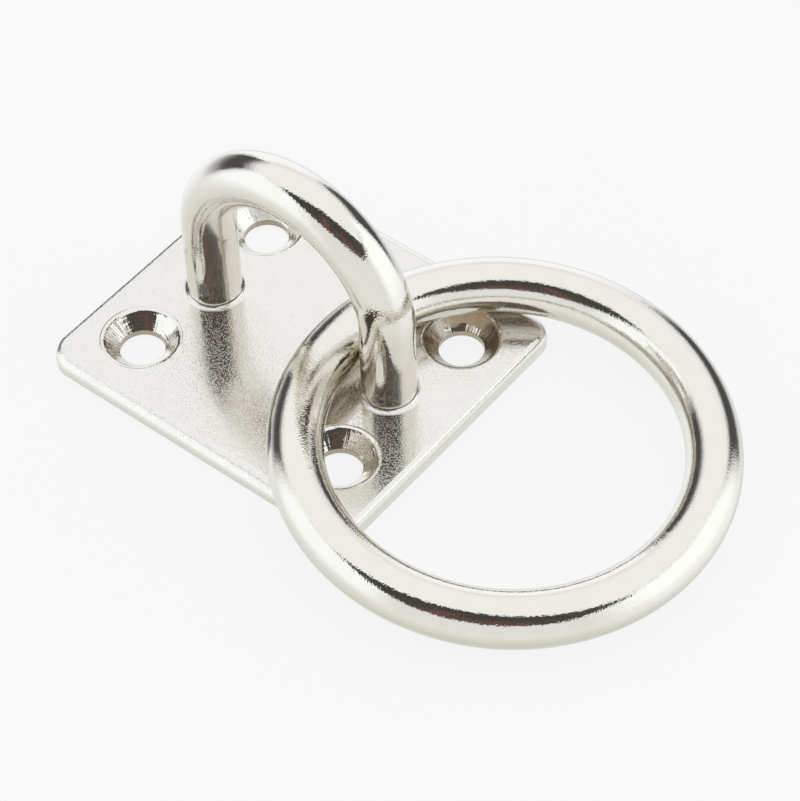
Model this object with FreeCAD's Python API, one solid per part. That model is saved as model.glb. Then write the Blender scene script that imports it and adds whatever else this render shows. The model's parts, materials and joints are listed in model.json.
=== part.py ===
import FreeCAD, Part
import math
import os

# Pad eye with ring: a stamped base plate with four countersunk screw holes, a bow of round rod
# whose two ends are riveted into the plate, and a closed ring of the same rod hung in the bow.
# Lengths are in millimetres and angles in degrees.
# The frame: X runs along the plate's long side, Y along its short side and Z up.
# The origin is the centre of the screw hole pattern, on the plate's back face.

# Screw holes, countersunk from the top
SCREW_PITCH_X = 27.5
SCREW_PITCH_Y = 20.8
SCREW_HOLE_DIAMETER = 5.0
SCREW_HEAD_DIAMETER = 8.3
SCREW_HEAD_ANGLE = 90.0
SCREW_RIM_RADIUS = 0.8

# Base plate, with the land that is left between the screw heads and its edges.
# The long sides are the rolled edges of the flat bar that it is cut from, so they are rounder
# than the cut ends.
PLATE_END_LAND = 2.9
PLATE_SIDE_LAND = 3.7
PLATE_THICKNESS = 2.35
PLATE_CORNER_RADIUS = 2.9
PLATE_TOP_SIDE_RADIUS = 1.5
PLATE_TOP_END_RADIUS = 0.75
PLATE_BACK_SIDE_RADIUS = 0.45
PLATE_BACK_END_RADIUS = 0.2

# Bow: two straight legs and a half round arch, standing over the plate's long middle line
BOW_ROD_DIAMETER = 6.0
BOW_LEG_PITCH = 24.3
BOW_LEG_HEIGHT = 10.0
BOW_HOLE_CLEARANCE = 0.03
RIVET_OVERHANG = 0.8
RIVET_HEAD_ANGLE = 90.0
RIVET_SEAT_CLEARANCE = 0.02

# Collar that the riveting has raised from the plate round each leg: a hollow arc that climbs
# from the plate's face to its steepest slope at the hole
COLLAR_ARC_RADIUS = 0.8
COLLAR_STEEPEST_SLOPE = 45.0

# Ring: round rod bent to a circle, its joint welded and polished away.
# It lies pulled out against the bow's leg on the +X side, over the plate's edges, with its far
# end down on the surface that the plate stands on.
RING_ROD_DIAMETER = 6.0
RING_INSIDE_DIAMETER = 37.3
RING_LEG_CLEARANCE = 0.3
RING_PLATE_CLEARANCE = 0.05

# Sizes that follow from these
PLATE_LENGTH = SCREW_PITCH_X + SCREW_HEAD_DIAMETER + 2 * PLATE_END_LAND
PLATE_WIDTH = SCREW_PITCH_Y + SCREW_HEAD_DIAMETER + 2 * PLATE_SIDE_LAND
BOW_HOLE_RADIUS = BOW_ROD_DIAMETER / 2 + BOW_HOLE_CLEARANCE
RING_RADIUS = (RING_INSIDE_DIAMETER + RING_ROD_DIAMETER) / 2

# Fineness of the search for the ring's tilt
RING_POINTS = 720
TILT_HALVINGS = 40
STEEPEST_TILT = 45.0

UP = FreeCAD.Vector(0, 0, 1)
ALONG_Y = FreeCAD.Vector(0, 1, 0)
ORIGIN = FreeCAD.Vector(0, 0, 0)
HALF_TURN = 180.0
FULL_TURN = 360.0
TOLERANCE = 1e-6


def screw_positions():
    """Centres of the four screw holes in plan."""
    places = []
    for side_x in (-1, 1):
        for side_y in (-1, 1):
            places.append((side_x * SCREW_PITCH_X / 2, side_y * SCREW_PITCH_Y / 2))
    return places


def leg_positions():
    """Centres of the bow's two legs in plan."""
    return [(-BOW_LEG_PITCH / 2, 0), (BOW_LEG_PITCH / 2, 0)]


def cone_depth(wide_radius, narrow_radius, full_angle):
    """Depth of a cone between two radii, from the full angle at its tip."""
    return (wide_radius - narrow_radius) / math.tan(math.radians(full_angle / 2))


def upright_edges(plate):
    """The four straight edges at the plate's corners."""
    return [edge for edge in plate.Edges if edge.BoundBox.ZLength > TOLERANCE]


def is_level(edge, height):
    """Whether an edge runs at one height."""
    box = edge.BoundBox
    return abs(box.ZMin - height) < TOLERANCE and abs(box.ZMax - height) < TOLERANCE


def rim_edges(plate, radius):
    """The round rims of one radius on the plate's top face."""
    found = []
    for edge in plate.Edges:
        if not is_level(edge, PLATE_THICKNESS) or not isinstance(edge.Curve, Part.Circle):
            continue
        if abs(edge.Curve.Radius - radius) < TOLERANCE:
            found.append(edge)
    return found


def outline_roundings(plate, height, side_radius, end_radius):
    """Number, start radius and end radius of each outline edge at one height."""
    found = []
    for number, edge in enumerate(plate.Edges, 1):
        if not is_level(edge, height):
            continue
        box = edge.BoundBox
        if box.YLength < TOLERANCE:
            found.append((number, side_radius, side_radius))
        elif box.XLength < TOLERANCE:
            found.append((number, end_radius, end_radius))
        elif box.Center.x * box.Center.y > 0:
            found.append((number, side_radius, end_radius))
        else:
            found.append((number, end_radius, side_radius))
    return found


def round_outline(plate):
    """Round the outline's edges; at each corner the side's radius runs over into the end's."""
    document = FreeCAD.newDocument()
    square = document.addObject("Part::Feature")
    square.Shape = plate
    rounded = document.addObject("Part::Fillet")
    rounded.Base = square
    top = outline_roundings(plate, PLATE_THICKNESS, PLATE_TOP_SIDE_RADIUS, PLATE_TOP_END_RADIUS)
    back = outline_roundings(plate, 0, PLATE_BACK_SIDE_RADIUS, PLATE_BACK_END_RADIUS)
    rounded.Edges = top + back
    document.recompute()
    return rounded.Shape.copy()


def screw_hole(place):
    """Cutter for one screw hole: a plain hole that widens to the screw head's cone."""
    hole_radius = SCREW_HOLE_DIAMETER / 2
    head_radius = SCREW_HEAD_DIAMETER / 2
    depth = cone_depth(head_radius, hole_radius, SCREW_HEAD_ANGLE)
    base = FreeCAD.Vector(place[0], place[1], 0)
    seat = FreeCAD.Vector(place[0], place[1], PLATE_THICKNESS - depth)
    shank = Part.makeCylinder(hole_radius, PLATE_THICKNESS, base, UP)
    return shank.fuse(Part.makeCone(hole_radius, head_radius, depth, seat, UP))


def rivet_cone(place, clearance):
    """Cone of a leg's riveted head at the plate's back, smaller than its seat by a clearance."""
    narrow = BOW_ROD_DIAMETER / 2
    wide = narrow + RIVET_OVERHANG - clearance
    depth = cone_depth(wide, narrow, RIVET_HEAD_ANGLE)
    return Part.makeCone(wide, narrow, depth, FreeCAD.Vector(place[0], place[1], 0), UP)


def leg_hole(place):
    """Cutter for one leg's hole, with the riveted head's seat at the plate's back."""
    base = FreeCAD.Vector(place[0], place[1], 0)
    height = PLATE_THICKNESS + COLLAR_ARC_RADIUS
    return Part.makeCylinder(BOW_HOLE_RADIUS, height, base, UP).fuse(rivet_cone(place, 0))


def collar(place):
    """Raised collar round one leg's hole, with a solid middle that the hole is cut through."""
    steepest = math.radians(COLLAR_STEEPEST_SLOPE)
    foot_radius = BOW_HOLE_RADIUS + COLLAR_ARC_RADIUS * math.sin(steepest)
    arc_height = PLATE_THICKNESS + COLLAR_ARC_RADIUS
    top_height = arc_height - COLLAR_ARC_RADIUS * math.cos(steepest)
    middle_radius = foot_radius - COLLAR_ARC_RADIUS * math.sin(steepest / 2)
    middle_height = arc_height - COLLAR_ARC_RADIUS * math.cos(steepest / 2)
    foot = FreeCAD.Vector(foot_radius, 0, PLATE_THICKNESS)
    middle = FreeCAD.Vector(middle_radius, 0, middle_height)
    top = FreeCAD.Vector(BOW_HOLE_RADIUS, 0, top_height)
    slope = Part.Arc(foot, middle, top).toShape()
    sides = Part.makePolygon([top, FreeCAD.Vector(0, 0, top_height), ORIGIN,
                              FreeCAD.Vector(foot_radius, 0, 0), foot])
    profile = Part.Face(Part.Wire([slope] + sides.Edges))
    ridge = profile.revolve(ORIGIN, UP, FULL_TURN)
    ridge.translate(FreeCAD.Vector(place[0], place[1], 0))
    return ridge


def make_plate():
    """Base plate with rounded corners and edges, four screw holes and two collared leg holes."""
    corner = FreeCAD.Vector(-PLATE_LENGTH / 2, -PLATE_WIDTH / 2, 0)
    plate = Part.makeBox(PLATE_LENGTH, PLATE_WIDTH, PLATE_THICKNESS, corner)
    plate = plate.makeFillet(PLATE_CORNER_RADIUS, upright_edges(plate))
    plate = round_outline(plate)
    for place in screw_positions():
        plate = plate.cut(screw_hole(place))
    plate = plate.makeFillet(SCREW_RIM_RADIUS, rim_edges(plate, SCREW_HEAD_DIAMETER / 2))
    for place in leg_positions():
        plate = plate.fuse(collar(place)).cut(leg_hole(place))
    return plate


def make_bow():
    """Bow: both legs from the plate's back face up, the arch over them and the riveted heads."""
    rod_radius = BOW_ROD_DIAMETER / 2
    arch_height = PLATE_THICKNESS + BOW_LEG_HEIGHT
    section_centre = FreeCAD.Vector(BOW_LEG_PITCH / 2, 0, arch_height)
    section = Part.Face(Part.Wire([Part.makeCircle(rod_radius, section_centre, UP)]))
    bow = section.revolve(FreeCAD.Vector(0, 0, arch_height), -ALONG_Y, HALF_TURN)
    for place in leg_positions():
        foot = FreeCAD.Vector(place[0], place[1], 0)
        bow = bow.fuse(Part.makeCylinder(rod_radius, arch_height, foot, UP))
        bow = bow.fuse(rivet_cone(place, RIVET_SEAT_CLEARANCE))
    return bow.removeSplitter()


def ring_centre(tilt):
    """Centre of the ring, tipped down towards +X by a tilt, with its far end on the surface."""
    rod_radius = RING_ROD_DIAMETER / 2
    leg_inside = BOW_LEG_PITCH / 2 - BOW_ROD_DIAMETER / 2
    near_x = leg_inside - RING_LEG_CLEARANCE - rod_radius
    slope = math.radians(tilt)
    x = near_x + RING_RADIUS * math.cos(slope)
    z = rod_radius + RING_RADIUS * math.sin(slope)
    return FreeCAD.Vector(x, 0, z)


def distance_to_plate(point):
    """Distance to the plate's sides, its holes filled, from a point no lower than their arc."""
    inset = PLATE_CORNER_RADIUS
    out_x = max(abs(point.x) - PLATE_LENGTH / 2 + inset, 0)
    out_y = max(abs(point.y) - PLATE_WIDTH / 2 + inset, 0)
    beyond = max(math.hypot(out_x, out_y) - inset + PLATE_TOP_SIDE_RADIUS, 0)
    above = max(point.z - PLATE_THICKNESS + PLATE_TOP_SIDE_RADIUS, 0)
    return math.hypot(beyond, above) - PLATE_TOP_SIDE_RADIUS


def ring_gap(tilt):
    """Smallest gap between the plate and the ring at one tilt."""
    centre = ring_centre(tilt)
    slope = math.radians(tilt)
    nearest = math.inf
    for step in range(RING_POINTS):
        turn = 2 * math.pi * step / RING_POINTS
        along = RING_RADIUS * math.cos(turn)
        across = RING_RADIUS * math.sin(turn)
        offset = FreeCAD.Vector(along * math.cos(slope), across, -along * math.sin(slope))
        nearest = min(nearest, distance_to_plate(centre + offset))
    return nearest - RING_ROD_DIAMETER / 2


def ring_tilt():
    """Tilt at which the ring just clears the plate's edges, found by halving the range."""
    low = 0.0
    high = STEEPEST_TILT
    for _ in range(TILT_HALVINGS):
        middle = (low + high) / 2
        if ring_gap(middle) < RING_PLATE_CLEARANCE:
            low = middle
        else:
            high = middle
    return high


def make_ring():
    """Ring where it comes to rest."""
    tilt = ring_tilt()
    centre = ring_centre(tilt)
    print("ring tilt", round(tilt, 3), "centre x", round(centre.x, 3), "z", round(centre.z, 3))
    ring = Part.makeTorus(RING_RADIUS, RING_ROD_DIAMETER / 2)
    ring.rotate(ORIGIN, ALONG_Y, tilt)
    ring.translate(centre)
    return ring


def main():
    os.makedirs("parts", exist_ok=True)
    pieces = {"base_plate": make_plate(), "bow": make_bow(), "ring": make_ring()}
    for name, shape in pieces.items():
        shape.exportStep("parts/" + name + ".step")
        print(name, "solids", len(shape.Solids), "volume", round(shape.Volume, 2), shape.isValid())


main()
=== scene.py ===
import json
import math

import bpy
from mathutils import Matrix, Vector


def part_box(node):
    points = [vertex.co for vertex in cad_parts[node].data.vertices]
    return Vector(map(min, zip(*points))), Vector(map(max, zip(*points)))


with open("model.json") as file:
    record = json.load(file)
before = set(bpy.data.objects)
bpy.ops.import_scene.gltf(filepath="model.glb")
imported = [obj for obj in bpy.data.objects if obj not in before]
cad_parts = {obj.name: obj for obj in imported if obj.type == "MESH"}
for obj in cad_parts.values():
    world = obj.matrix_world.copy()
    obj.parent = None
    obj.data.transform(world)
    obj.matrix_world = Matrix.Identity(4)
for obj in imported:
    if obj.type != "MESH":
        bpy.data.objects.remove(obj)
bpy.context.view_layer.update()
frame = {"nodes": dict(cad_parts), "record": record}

# Camera: where it stands, seen from the object, and the point at the middle of the picture.
# Angles are in degrees and lengths in metres. Azimuth 0 looks along +Y.
CAMERA_AZIMUTH = 39.925
CAMERA_ELEVATION = 49.442
CAMERA_ROLL = -1.939
CAMERA_DISTANCE = 0.3166
CAMERA_AIM = Vector((0.0106, 0.00354, -0.00379))
CAMERA_RANGE = (0.01, 20)
FOCAL_LENGTH_PIXELS = 2925.3
LONG_SIDE_PIXELS = 801
SENSOR_WIDTH = 36.0

# Colours of light, as linear red, green and blue
BACKGROUND = (0.947, 0.947, 0.947)
CEILING = (1.11, 1.14, 1.18)
BACK_WALL = (1, 1.02, 1.06)
BACK_WINDOW = (1.21, 1.24, 1.31)
FRONT_WALL = (0.95, 0.97, 0.99)
LEFT_SOFTBOX = (1.24, 1.29, 1.36)
RIGHT_SOFTBOX = (1.3, 1.35, 1.42)
SEAM = (0.65, 0.66, 0.66)
FLAG = (0.094, 0.093, 0.093)
CAMERA_GAP = (0.058, 0.063, 0.058)
CAMERA_GAP_BROWN = (0.22, 0.164, 0.148)
CAMERA_GAP_RED = (0.262, 0.106, 0.099)

# Pale ground that the metal shows below the horizon
GROUND_FRONT = (0.98, 0.995, 0.965)
GROUND_LEFT = (0.97, 1, 1)
GROUND_RIGHT = (1.13, 1.17, 1.21)
GROUND_BACK_LEFT = (1.1, 1.14, 1.18)
GROUND_BACK_RIGHT = (0.86, 0.89, 0.92)
GROUND_BELOW = (0.77, 0.79, 0.76)

# Borders of the lights, in degrees of elevation, and of azimuth from the camera's side.
# Two numbers say where one soft border begins and ends. Three numbers are two borders, and how
# far each of them reaches to both sides.
HORIZON = (-28, -2)
CEILING_START = (30, 44)
FRONT_WALL_LEFT = (-62, -40)
FRONT_WALL_RIGHT = (30, 64)
FRONT_WALL_TOP = (28, 40)
SOFTBOX_BOTTOM = (-28, 4)
SOFTBOX_TOP = (40, 43)
LEFT_SOFTBOX_FAR = (-113, -106)
LEFT_SOFTBOX_NEAR = (-60, -42)
RIGHT_SOFTBOX_NEAR = (32, 62)
RIGHT_SOFTBOX_FAR = (108, 116)
SEAM_SIDES = (50, 100, 6)
SEAM_HEIGHT = (42.5, 44.5, 1.2)
SEAM_SHARE = 0.5
WINDOW_SIDE = (152, 168)
WINDOW_BOTTOM = (-22, -6)
WINDOW_TOP = (18, 30)
LEFT_FLAG_SIDES = (-167, -117, 4)
LEFT_FLAG_BOTTOM = (-20, 10)
LEFT_FLAG_TOP = (22, 38)
RIGHT_FLAG_SIDES = (118, 155, 4)
RIGHT_FLAG_BOTTOM = (-24, -3)
RIGHT_FLAG_TOP = (58, 74)
RIGHT_FLAG_SLOPE = 0.3
GROUND_LEFT_SIDE = (-75, -40)
GROUND_RIGHT_SIDE = (25, 75)
GROUND_BACK_START = (110, 135)
GROUND_BACK_CHANGE = (-0.45, 0.1)
GROUND_BELOW_START = (-68, -18)

# Outline of the dark gap round the camera, in the same degrees. Its top is a parabola, and its
# bottom rises past two corners. Both have soft borders, counted from there.
GAP_SIDES = (-84, 60, 5)
GAP_MIDDLE = -16
GAP_TOP = 68.5
GAP_TOP_BEND = 0.0046
GAP_BOTTOM = 27
GAP_LEFT_CORNER = -36
GAP_LEFT_SLOPE = 0.46
GAP_RIGHT_CORNER = 24
GAP_RIGHT_SLOPE = 0.3
GAP_BOTTOM_BORDER = (-2, 3)
GAP_TOP_BORDER = (-3, 2)

# Brown and red streaks in the gap. The red stripes lean about a middle height.
STREAK_SIZE = 4.0
STREAK_STRETCH = 0.15
BROWN_SIDES = (-42, 30, 8)
BROWN_TOP = (34, 46)
BROWN_STREAKS = (0.42, 0.62)
BROWN_SHARE_LOW = 0.6
BROWN_SHARE_ALL = 0.2
RED_LEAN = 0.4
RED_MIDDLE_HEIGHT = 45
LEFT_RED_SIDES = (-27, -19, 3)
LEFT_RED_TOP = (50, 58)
MIDDLE_RED_SIDES = (-2, 3, 2)
MIDDLE_RED_TOP = (44, 54)
RIGHT_RED_SIDES = (9, 16, 3)
RED_STREAKS = (0.3, 0.5)
RED_SHARE = 0.8

# Floor: half its side in metres, its colour, and the share of it that the camera sees as plain
# background. The rest is lit, so it carries the shadow.
FLOOR_HALF_SIDE = 6.0
FLOOR_COLOUR = (0.96, 0.96, 0.96)
FLOOR_PLAIN_SHARE = 0.9

# Steel of the rods and of the plate, clean, stained and dirty, and the painted shade on the walls
# of the screw holes
STEEL = (0.765, 0.735, 0.67)
STEEL_STAINED = (0.745, 0.71, 0.635)
PLATE_STEEL = (0.778, 0.749, 0.696)
PLATE_STEEL_STAINED = (0.758, 0.725, 0.662)
# Painted shade: dark brown on the walls of the screw holes, standing in for the shadowed floor
# under the plate showing in them
BORE_PAINTED_SHADE = (0.44, 0.38, 0.3)
THIN_DIRT = (0.4, 0.36, 0.295)
THICK_DIRT = (0.97, 0.78, 0.57)
WORN_STEEL = (0.97, 0.95, 0.89)
JOINT_DIRT = (0.14, 0.11, 0.075)
ROD_ROUGHNESS = 0.06
PLATE_ROUGHNESS = 0.14
CUT_ROUGHNESS = 0.05
THIN_DIRT_ROUGHNESS = 0.18
THICK_DIRT_ROUGHNESS = 0.65
WORN_ROUGHNESS = 0.5

# Soft stains in all the steel: their size in metres, the part of the noise that is stained, how
# strongly, and the least roughness and its spread as shares
STAIN_SIZE = 0.0025
STAIN_BORDER = (0.45, 0.75)
STAIN_SHARE = 0.5
LEAST_ROUGHNESS = 0.7
ROUGHNESS_SPREAD = 0.6

# Relief of the steel, as size and height in metres: soft waves, fine grain and pits
RING_WAVE = (0.0012, 8e-6)
RING_GRAIN = (0.0002, 1.05e-5)
RING_GRAIN_SQUEEZE = 1.25
BOW_WAVE = (0.0015, 8e-6)
BOW_GRAIN = (0.00019, 8.5e-6)
PLATE_WAVE = (0.002, 4e-6)
PLATE_GRAIN = (0.00014, 3e-6)
PIT_SIZE = 0.00016
PIT_DEPTH = 9e-6
PIT_BORDER = (0.54, 0.7)

# Cutter's marks in the countersinks: how many a radian and a metre outwards, and their depth.
# The steps in the noise from one countersink to the next make the marks of the four differ.
STEP_X = 7
STEP_Y = 3
MARKS_ROUND = 5
MARKS_OUTWARDS = 300
MARKS_DEPTH = 0.00009
LINES_ROUND = 24
LINES_OUTWARDS = 1500
LINES_DEPTH = 0.000012
RINGS_ROUND = 2
RINGS_OUTWARDS = 6000
RINGS_DEPTH = 0.00002

# Places on the object, in metres. The cone of a countersink is the part below its rounded rim.
SCREW_HOLES = next(mount for mount in frame["record"]["mounts"] if mount["name"] == "screw_holes")
HOLE_X = SCREW_HOLES["dims"]["spacing_x_mm"] / 2000
HOLE_Y = SCREW_HOLES["dims"]["spacing_y_mm"] / 2000
BORE_RADIUS = SCREW_HOLES["dims"]["hole_r_mm"] / 1000 + 0.00002
BORE_BORDER = 0.00004
COUNTERSINK_RADIUS = 0.0045
CONE_RADIUS = 0.0042
RIM_BORDER = 0.0001
COLLAR_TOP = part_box("base_plate")[1].z
ROD_RADIUS = 0.003
RING_LOW, RING_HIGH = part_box("ring")
RING_CENTRE = (RING_LOW + RING_HIGH) / 2
RING_RADIUS = (RING_HIGH.y - RING_LOW.y) / 2 - ROD_RADIUS
RING_TILT = math.asin((RING_CENTRE.z - RING_LOW.z - ROD_RADIUS) / RING_RADIUS)

# Dirt and wear in the countersinks. Sectors and the raggedness of their sides are in radians,
# counted from outwards along X towards outwards along Y. Lengths are in metres.
SHELTERED_SECTOR = (math.radians(55), math.radians(172), 0.2)
THICK_SECTOR = (math.radians(70), math.radians(155), 0.35)
WORN_SECTOR = (math.radians(12), math.radians(95), 0.4)
RAGGED_SIZE = 0.0008
RAGGED_TURN = 1.2
CLEAN_RADIUS = 0.0023
CLEAN_RADIUS_SPREAD = 0.0012
CLEAN_BORDER_SIZE = 0.0012
CLEAN_BORDER_WIDTH = 0.0003
MOTTLE_SIZE = 0.0005
MOTTLE_BORDER = (0.3, 0.6)
MOTTLE_SHARE = 0.3
CORNER_BORDER = 0.001

# Upper border of the dark joint line, in metres above the collars, and how it waves
JOINT_LINE = (0.00006, 0.00016)
JOINT_LINE_WAVE = 0.0015
JOINT_LINE_SPREAD = 0.0002

# How often light may bounce to and fro between the polished pieces
GLOSSY_BOUNCES = 12


class Field:
    """A number that a shader works out at each point, with the usual arithmetic."""

    def __init__(self, tree, socket):
        self.tree = tree
        self.socket = socket

    def math(self, operation, *others):
        node = self.tree.nodes.new("ShaderNodeMath")
        node.operation = operation
        for place, value in enumerate((self, *others)):
            connect(self.tree, value, node.inputs[place])
        return Field(self.tree, node.outputs[0])

    def __add__(self, other):
        return self.math("ADD", other)

    def __sub__(self, other):
        return self.math("SUBTRACT", other)

    def __mul__(self, other):
        return self.math("MULTIPLY", other)

    def rises(self, low, high):
        """0 below low, 1 above high and a smooth step between them."""
        node = self.tree.nodes.new("ShaderNodeMapRange")
        node.interpolation_type = "SMOOTHSTEP"
        connect(self.tree, self, node.inputs["Value"])
        connect(self.tree, low, node.inputs["From Min"])
        connect(self.tree, high, node.inputs["From Max"])
        return Field(self.tree, node.outputs["Result"])

    def falls(self, low, high):
        """1 below low, 0 above high and a smooth step between them."""
        return self.rises(low, high).opposite()

    def between(self, low, high, soft):
        """1 from low to high, with soft borders."""
        enters = self.rises(low - soft, low + soft)
        leaves = self.rises(high - soft, high + soft)
        return enters * (enters - leaves).at_least(0.0)

    def opposite(self):
        """0 where the field is 1, and 1 where it is 0."""
        return self * -1 + 1

    def at_least(self, limit):
        return self.math("MAXIMUM", limit)

    def at_most(self, limit):
        return self.math("MINIMUM", limit)

    def absolute(self):
        return self.math("ABSOLUTE")


def connect(tree, value, socket):
    """Links a field or a socket, or sets a plain value."""
    if isinstance(value, Field):
        tree.links.new(value.socket, socket)
    elif isinstance(value, bpy.types.NodeSocket):
        tree.links.new(value, socket)
    else:
        socket.default_value = value


def mixed(tree, share, first, second):
    """A colour between two colours."""
    node = tree.nodes.new("ShaderNodeMix")
    node.data_type = "RGBA"
    connect(tree, share, node.inputs["Factor"])
    for value, name in ((first, "A"), (second, "B")):
        socket = next(s for s in node.inputs if s.name == name and s.type == "RGBA")
        connect(tree, value if not isinstance(value, tuple) else (*value, 1.0), socket)
    return next(s for s in node.outputs if s.type == "RGBA")


def mixed_shader(tree, share, first, second):
    """A shader between two shaders."""
    node = tree.nodes.new("ShaderNodeMixShader")
    connect(tree, share, node.inputs[0])
    tree.links.new(first.outputs[0], node.inputs[1])
    tree.links.new(second.outputs[0], node.inputs[2])
    return node


def split(tree, vector):
    """The three numbers of a vector."""
    node = tree.nodes.new("ShaderNodeSeparateXYZ")
    tree.links.new(vector, node.inputs[0])
    return [Field(tree, socket) for socket in node.outputs]


def joined(tree, x, y, z):
    """A vector from three numbers."""
    node = tree.nodes.new("ShaderNodeCombineXYZ")
    for place, value in enumerate((x, y, z)):
        connect(tree, value, node.inputs[place])
    return node.outputs[0]


def noise(tree, coordinates, size, detail=2.0):
    """Soft random field with features of one size, in the coordinates' own unit."""
    node = tree.nodes.new("ShaderNodeTexNoise")
    tree.links.new(coordinates, node.inputs["Vector"])
    node.inputs["Scale"].default_value = 1 / size
    node.inputs["Detail"].default_value = detail
    return Field(tree, node.outputs[0])


def light_directions(tree):
    """Azimuth from the camera's side and elevation of the light's direction, in degrees."""
    coordinates = tree.nodes.new("ShaderNodeTexCoord")
    x, y, z = split(tree, coordinates.outputs["Generated"])
    turn = math.radians(CAMERA_AZIMUTH)
    towards = x * math.sin(turn) - y * math.cos(turn)
    sideways = x * math.cos(turn) + y * math.sin(turn)
    azimuth = sideways.math("ARCTAN2", towards) * math.degrees(1)
    elevation = z.math("ARCSINE") * math.degrees(1)
    return azimuth, elevation


def ground_colour(tree, azimuth, elevation):
    """Colour of the pale ground in each direction, darker the steeper the view."""
    colour = mixed(tree, azimuth.rises(*GROUND_RIGHT_SIDE), GROUND_FRONT, GROUND_RIGHT)
    colour = mixed(tree, azimuth.falls(*GROUND_LEFT_SIDE), colour, GROUND_LEFT)
    sideways = (azimuth * math.radians(1)).math("SINE")
    back = mixed(tree, sideways.rises(*GROUND_BACK_CHANGE), GROUND_BACK_LEFT, GROUND_BACK_RIGHT)
    colour = mixed(tree, azimuth.absolute().rises(*GROUND_BACK_START), colour, back)
    return mixed(tree, elevation.falls(*GROUND_BELOW_START), colour, GROUND_BELOW)


def gap_share(azimuth, elevation):
    """1 in the dark gap, shaped like a lens, that the camera looks through."""
    offset = azimuth - GAP_MIDDLE
    top = offset * offset * -GAP_TOP_BEND + GAP_TOP
    left_rise = (azimuth * -1 + GAP_LEFT_CORNER).at_least(0.0) * GAP_LEFT_SLOPE
    right_rise = (azimuth - GAP_RIGHT_CORNER).at_least(0.0) * GAP_RIGHT_SLOPE
    bottom = left_rise + right_rise + GAP_BOTTOM
    above_bottom = (elevation - bottom).rises(*GAP_BOTTOM_BORDER)
    below_top = (elevation - top).falls(*GAP_TOP_BORDER)
    return above_bottom * below_top * azimuth.between(*GAP_SIDES)


def gap_colour(tree, azimuth, elevation):
    """Nearly black, with brown streaks low down and three leaning red stripes."""
    streaks = noise(tree, joined(tree, azimuth, elevation * STREAK_STRETCH, 0.0), STREAK_SIZE)
    low = elevation.falls(*BROWN_TOP) * azimuth.between(*BROWN_SIDES)
    brown = streaks.rises(*BROWN_STREAKS) * (low * BROWN_SHARE_LOW + BROWN_SHARE_ALL)
    colour = mixed(tree, brown, CAMERA_GAP, CAMERA_GAP_BROWN)
    across = azimuth - (elevation - RED_MIDDLE_HEIGHT) * RED_LEAN
    left_red = across.between(*LEFT_RED_SIDES) * elevation.falls(*LEFT_RED_TOP)
    middle_red = across.between(*MIDDLE_RED_SIDES) * elevation.falls(*MIDDLE_RED_TOP)
    right_red = across.between(*RIGHT_RED_SIDES) * low
    stripes = (left_red + middle_red + right_red).at_most(1.0)
    return mixed(tree, stripes * streaks.rises(*RED_STREAKS) * RED_SHARE, colour, CAMERA_GAP_RED)


def tent_colour(tree, azimuth, elevation):
    """Walls, ceiling, ground, softboxes, window and flags of the light tent."""
    from_front = azimuth.absolute()
    colour = mixed(tree, elevation.rises(*CEILING_START), BACK_WALL, CEILING)
    ground = ground_colour(tree, azimuth, elevation)
    colour = mixed(tree, elevation.falls(*HORIZON), colour, ground)
    front = azimuth.rises(*FRONT_WALL_LEFT) * azimuth.falls(*FRONT_WALL_RIGHT)
    front = front * elevation.rises(*HORIZON) * elevation.falls(*FRONT_WALL_TOP)
    colour = mixed(tree, front, colour, FRONT_WALL)
    box_height = elevation.rises(*SOFTBOX_BOTTOM) * elevation.falls(*SOFTBOX_TOP)
    left_box = azimuth.rises(*LEFT_SOFTBOX_FAR) * azimuth.falls(*LEFT_SOFTBOX_NEAR) * box_height
    colour = mixed(tree, left_box, colour, LEFT_SOFTBOX)
    right_box = azimuth.rises(*RIGHT_SOFTBOX_NEAR) * azimuth.falls(*RIGHT_SOFTBOX_FAR) * box_height
    colour = mixed(tree, right_box, colour, RIGHT_SOFTBOX)
    seam = from_front.between(*SEAM_SIDES) * elevation.between(*SEAM_HEIGHT)
    colour = mixed(tree, seam * SEAM_SHARE, colour, SEAM)
    window_height = elevation.rises(*WINDOW_BOTTOM) * elevation.falls(*WINDOW_TOP)
    colour = mixed(tree, from_front.rises(*WINDOW_SIDE) * window_height, colour, BACK_WINDOW)
    left_flag = azimuth.between(*LEFT_FLAG_SIDES) * elevation.rises(*LEFT_FLAG_BOTTOM)
    left_flag = left_flag * elevation.falls(*LEFT_FLAG_TOP)
    leaning = elevation + azimuth * RIGHT_FLAG_SLOPE
    right_flag = azimuth.between(*RIGHT_FLAG_SIDES) * elevation.rises(*RIGHT_FLAG_BOTTOM)
    right_flag = right_flag * leaning.falls(*RIGHT_FLAG_TOP)
    return mixed(tree, left_flag + right_flag, colour, FLAG)


def make_world():
    """A light tent: bright all round, two softboxes, two dark flags and the camera's gap."""
    world = bpy.data.worlds.new("studio")
    bpy.context.scene.world = world
    world.use_nodes = True
    tree = world.node_tree
    tree.nodes.clear()
    azimuth, elevation = light_directions(tree)
    colour = tent_colour(tree, azimuth, elevation)
    gap = gap_share(azimuth, elevation)
    colour = mixed(tree, gap, colour, gap_colour(tree, azimuth, elevation))
    rays = tree.nodes.new("ShaderNodeLightPath")
    seen = Field(tree, rays.outputs["Is Camera Ray"])
    colour = mixed(tree, seen, colour, BACKGROUND)
    background = tree.nodes.new("ShaderNodeBackground")
    tree.links.new(colour, background.inputs["Color"])
    output = tree.nodes.new("ShaderNodeOutputWorld")
    tree.links.new(background.outputs[0], output.inputs["Surface"])


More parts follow.
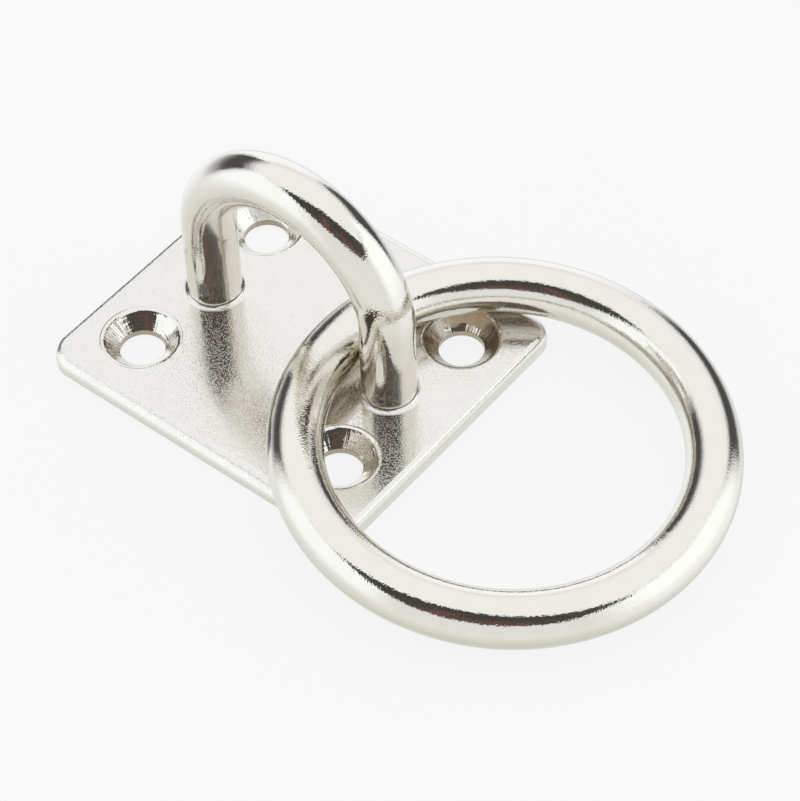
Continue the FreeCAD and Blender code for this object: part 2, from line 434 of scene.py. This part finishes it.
def make_floor():
    """Plain pale floor with a faint shadow; metal and glass see the world's ground instead."""
    half = FLOOR_HALF_SIDE
    mesh = bpy.data.meshes.new("floor")
    corners = [(-half, -half, 0), (half, -half, 0), (half, half, 0), (-half, half, 0)]
    mesh.from_pydata(corners, [], [(0, 1, 2, 3)])
    floor = bpy.data.objects.new("floor", mesh)
    bpy.context.scene.collection.objects.link(floor)
    material = bpy.data.materials.new("floor")
    material.use_nodes = True
    tree = material.node_tree
    tree.nodes.clear()
    lit = tree.nodes.new("ShaderNodeBsdfDiffuse")
    lit.inputs["Color"].default_value = (*FLOOR_COLOUR, 1)
    glow = tree.nodes.new("ShaderNodeEmission")
    glow.inputs["Color"].default_value = (*BACKGROUND, 1)
    clear = tree.nodes.new("ShaderNodeBsdfTransparent")
    rays = tree.nodes.new("ShaderNodeLightPath")
    seen = Field(tree, rays.outputs["Is Camera Ray"])
    mirrored = Field(tree, rays.outputs["Is Glossy Ray"])
    through_glass = Field(tree, rays.outputs["Is Transmission Ray"])
    plain = mixed_shader(tree, seen * FLOOR_PLAIN_SHARE, lit, glow)
    surface = mixed_shader(tree, (mirrored + through_glass).at_most(1.0), plain, clear)
    output = tree.nodes.new("ShaderNodeOutputMaterial")
    tree.links.new(surface.outputs[0], output.inputs["Surface"])
    mesh.materials.append(material)


def bumped(tree, normal, height, distance):
    """The surface's normal after a field has raised it by up to a distance, in metres."""
    bump = tree.nodes.new("ShaderNodeBump")
    bump.inputs["Strength"].default_value = 1.0
    bump.inputs["Distance"].default_value = distance
    connect(tree, height, bump.inputs["Height"])
    if normal is not None:
        tree.links.new(normal, bump.inputs["Normal"])
    return bump.outputs[0]


def make_steel(name, colour, finish, wave, grain, grain_place, relief=None):
    """Bare steel with soft waves and fine grain, each given as its size and height in metres."""
    material = bpy.data.materials.new(name)
    material.use_nodes = True
    tree = material.node_tree
    tree.nodes.clear()
    coordinates = tree.nodes.new("ShaderNodeTexCoord").outputs["Object"]
    shader = tree.nodes.new("ShaderNodeBsdfPrincipled")
    shader.inputs["Metallic"].default_value = 1.0
    connect(tree, colour(tree, coordinates), shader.inputs["Base Color"])
    connect(tree, finish(tree, coordinates), shader.inputs["Roughness"])
    place = grain_place(tree, coordinates)
    wave_size, wave_height = wave
    grain_size, grain_height = grain
    normal = bumped(tree, None, noise(tree, place, wave_size, detail=0.0), wave_height)
    normal = bumped(tree, normal, noise(tree, place, grain_size, detail=0.0), grain_height)
    if relief is not None:
        normal = relief(tree, coordinates, normal)
    tree.links.new(normal, shader.inputs["Normal"])
    output = tree.nodes.new("ShaderNodeOutputMaterial")
    tree.links.new(shader.outputs[0], output.inputs["Surface"])
    return material


def unchanged(tree, coordinates):
    """Grain that is the same in all directions."""
    return coordinates


def across_ring(tree, coordinates):
    """Grain whose marks run round the ring's rod, longer than they are wide."""
    local = tree.nodes.new("ShaderNodeMapping")
    local.vector_type = "TEXTURE"
    tree.links.new(coordinates, local.inputs["Vector"])
    local.inputs["Location"].default_value = RING_CENTRE
    local.inputs["Rotation"].default_value = (0.0, RING_TILT, 0.0)
    x, y, z = split(tree, local.outputs[0])
    along = y.math("ARCTAN2", x) * (RING_GRAIN_SQUEEZE * RING_RADIUS)
    outwards = (x * x + y * y).math("SQRT") - RING_RADIUS
    return joined(tree, along, outwards, z)


def stained(tree, coordinates, clean, dirty):
    """Steel colour with soft stains."""
    blotches = noise(tree, coordinates, STAIN_SIZE)
    return mixed(tree, blotches.rises(*STAIN_BORDER) * STAIN_SHARE, clean, dirty)


def uneven(tree, coordinates, roughness):
    """Roughness that varies a little from place to place."""
    return (noise(tree, coordinates, STAIN_SIZE) * ROUGHNESS_SPREAD + LEAST_ROUGHNESS) * roughness


def rod_colour(tree, coordinates):
    """Colour of the bow and the ring, apart from the bow's dark joint lines."""
    return stained(tree, coordinates, STEEL, STEEL_STAINED)


def bow_colour(tree, coordinates):
    """Colour of the bow, with a dark line of dirt where its legs come out of the collars."""
    height = split(tree, coordinates)[2]
    waving = noise(tree, coordinates, JOINT_LINE_WAVE) - 0.5
    above_collar = height + waving * JOINT_LINE_SPREAD - COLLAR_TOP
    return mixed(tree, above_collar.falls(*JOINT_LINE), rod_colour(tree, coordinates), JOINT_DIRT)


def rod_finish(tree, coordinates):
    """Roughness of the bow and the ring."""
    return uneven(tree, coordinates, ROD_ROUGHNESS)


def countersink_place(tree, coordinates):
    """Angle and distance round the middle of the nearest screw hole."""
    x, y, _ = split(tree, coordinates)
    from_x = x.absolute() - HOLE_X
    from_y = y.absolute() - HOLE_Y
    distance = (from_x * from_x + from_y * from_y).math("SQRT")
    return from_y.math("ARCTAN2", from_x), distance


def in_countersink(distance):
    """1 inside a countersink and 0 on the plate's face."""
    return distance.falls(COUNTERSINK_RADIUS - RIM_BORDER, COUNTERSINK_RADIUS)


def ragged(tree, coordinates, turn):
    """The angle round a countersink, shifted to and fro so that stains get uneven borders."""
    return turn + (noise(tree, coordinates, RAGGED_SIZE) - 0.5) * RAGGED_TURN


def dirt(tree, coordinates):
    """1 in the outer part of the cone behind the ring's leg, and 1 where its dirt is thick."""
    turn, distance = countersink_place(tree, coordinates)
    turn = ragged(tree, coordinates, turn)
    spread = noise(tree, coordinates, CLEAN_BORDER_SIZE) * CLEAN_RADIUS_SPREAD
    border = (spread + CLEAN_RADIUS) * turn.between(*SHELTERED_SECTOR)
    cone = distance.rises(border, border + CLEAN_BORDER_WIDTH)
    cone = cone * distance.falls(CONE_RADIUS - RIM_BORDER, CONE_RADIUS + RIM_BORDER)
    x, y, _ = split(tree, coordinates)
    this_one = x.rises(0, CORNER_BORDER) * y.rises(0, CORNER_BORDER)
    mottled = noise(tree, coordinates, MOTTLE_SIZE).rises(*MOTTLE_BORDER)
    thick = turn.between(*THICK_SECTOR) * (mottled * MOTTLE_SHARE + (1 - MOTTLE_SHARE))
    return cone * this_one, thick


def worn_patch(tree, coordinates):
    """1 on the far side of the cone behind the bow's empty leg, where it is pale and matt."""
    turn, distance = countersink_place(tree, coordinates)
    turn = ragged(tree, coordinates, turn)
    x, y, _ = split(tree, coordinates)
    this_one = x.falls(-CORNER_BORDER, 0) * y.rises(0, CORNER_BORDER)
    return in_countersink(distance) * turn.between(*WORN_SECTOR) * this_one


def plate_colour(tree, coordinates):
    """Colour of the plate: cut steel in the screw holes, dirt in one and wear in another, and
    painted shade darkening the walls of the holes.
    """
    colour = stained(tree, coordinates, PLATE_STEEL, PLATE_STEEL_STAINED)
    _, distance = countersink_place(tree, coordinates)
    colour = mixed(tree, in_countersink(distance), colour, STEEL)
    dirty, thick = dirt(tree, coordinates)
    colour = mixed(tree, dirty, colour, THIN_DIRT)
    colour = mixed(tree, dirty * thick, colour, THICK_DIRT)
    colour = mixed(tree, worn_patch(tree, coordinates), colour, WORN_STEEL)
    # Painted shade: the walls of the screw holes are darkened, as if the shadowed floor under the
    # plate showed in them
    painted_bore_shade = distance.falls(BORE_RADIUS, BORE_RADIUS + BORE_BORDER)
    return mixed(tree, painted_bore_shade, colour, BORE_PAINTED_SHADE)


def plate_finish(tree, coordinates):
    """Roughness of the plate: satin faces, and brighter metal where the cutter has been."""
    _, distance = countersink_place(tree, coordinates)
    inside = in_countersink(distance)
    dirty, thick = dirt(tree, coordinates)
    thick_part = thick * (THICK_DIRT_ROUGHNESS - THIN_DIRT_ROUGHNESS)
    dirt_part = dirty * (thick_part + (THIN_DIRT_ROUGHNESS - CUT_ROUGHNESS))
    worn_part = worn_patch(tree, coordinates) * (WORN_ROUGHNESS - CUT_ROUGHNESS)
    cut = dirt_part + worn_part + CUT_ROUGHNESS
    return uneven(tree, coordinates, PLATE_ROUGHNESS) * inside.opposite() + inside * cut


def plate_relief(tree, coordinates, normal):
    """Tiny pits, and the radial marks and rings that the cutter left in the four countersinks."""
    turn, distance = countersink_place(tree, coordinates)
    inside = in_countersink(distance)
    pits = noise(tree, coordinates, PIT_SIZE, detail=0.0).rises(*PIT_BORDER) * inside.opposite()
    normal = bumped(tree, normal, pits, PIT_DEPTH)
    x, y, _ = split(tree, coordinates)
    which = x.math("SIGN") * STEP_X + y.math("SIGN") * STEP_Y
    marks_place = joined(tree, turn * MARKS_ROUND, distance * MARKS_OUTWARDS, which)
    lines_place = joined(tree, turn * LINES_ROUND, distance * LINES_OUTWARDS, which)
    rings_place = joined(tree, distance * RINGS_OUTWARDS, turn * RINGS_ROUND, which)
    marks = noise(tree, marks_place, 1.0)
    lines = noise(tree, lines_place, 1.0, detail=0.0)
    rings = noise(tree, rings_place, 1.0, detail=0.0)
    normal = bumped(tree, normal, marks * inside, MARKS_DEPTH)
    normal = bumped(tree, normal, lines * inside, LINES_DEPTH)
    return bumped(tree, normal, rings * inside, RINGS_DEPTH)


def dress(node, material):
    """Gives a piece of the model its material."""
    piece = frame["nodes"][node]
    piece.data.materials.clear()
    piece.data.materials.append(material)


def make_camera():
    """Camera at the photograph's place."""
    data = bpy.data.cameras.new("camera")
    data.sensor_width = SENSOR_WIDTH
    data.lens = FOCAL_LENGTH_PIXELS * SENSOR_WIDTH / LONG_SIDE_PIXELS
    data.clip_start, data.clip_end = CAMERA_RANGE
    camera = bpy.data.objects.new("camera", data)
    bpy.context.scene.collection.objects.link(camera)
    azimuth = math.radians(CAMERA_AZIMUTH)
    elevation = math.radians(CAMERA_ELEVATION)
    level = math.cos(elevation)
    back = Vector((math.sin(azimuth) * level, -math.cos(azimuth) * level, math.sin(elevation)))
    look = (-back).to_track_quat("-Z", "Y").to_matrix()
    roll = Matrix.Rotation(math.radians(CAMERA_ROLL), 3, "Z")
    place = Matrix.Translation(CAMERA_AIM + back * CAMERA_DISTANCE)
    camera.matrix_world = place @ (look @ roll).to_4x4()
    bpy.context.scene.camera = camera


ring_steel = make_steel("ring_steel", rod_colour, rod_finish, RING_WAVE, RING_GRAIN, across_ring)
bow_steel = make_steel("bow_steel", bow_colour, rod_finish, BOW_WAVE, BOW_GRAIN, unchanged)
plate_steel = make_steel("plate_steel", plate_colour, plate_finish, PLATE_WAVE, PLATE_GRAIN,
                         unchanged, plate_relief)
dress("base_plate", plate_steel)
dress("bow", bow_steel)
dress("ring", ring_steel)

make_world()
make_floor()
make_camera()
bpy.context.scene.view_settings.view_transform = "Standard"
bpy.context.scene.cycles.glossy_bounces = GLOSSY_BOUNCES
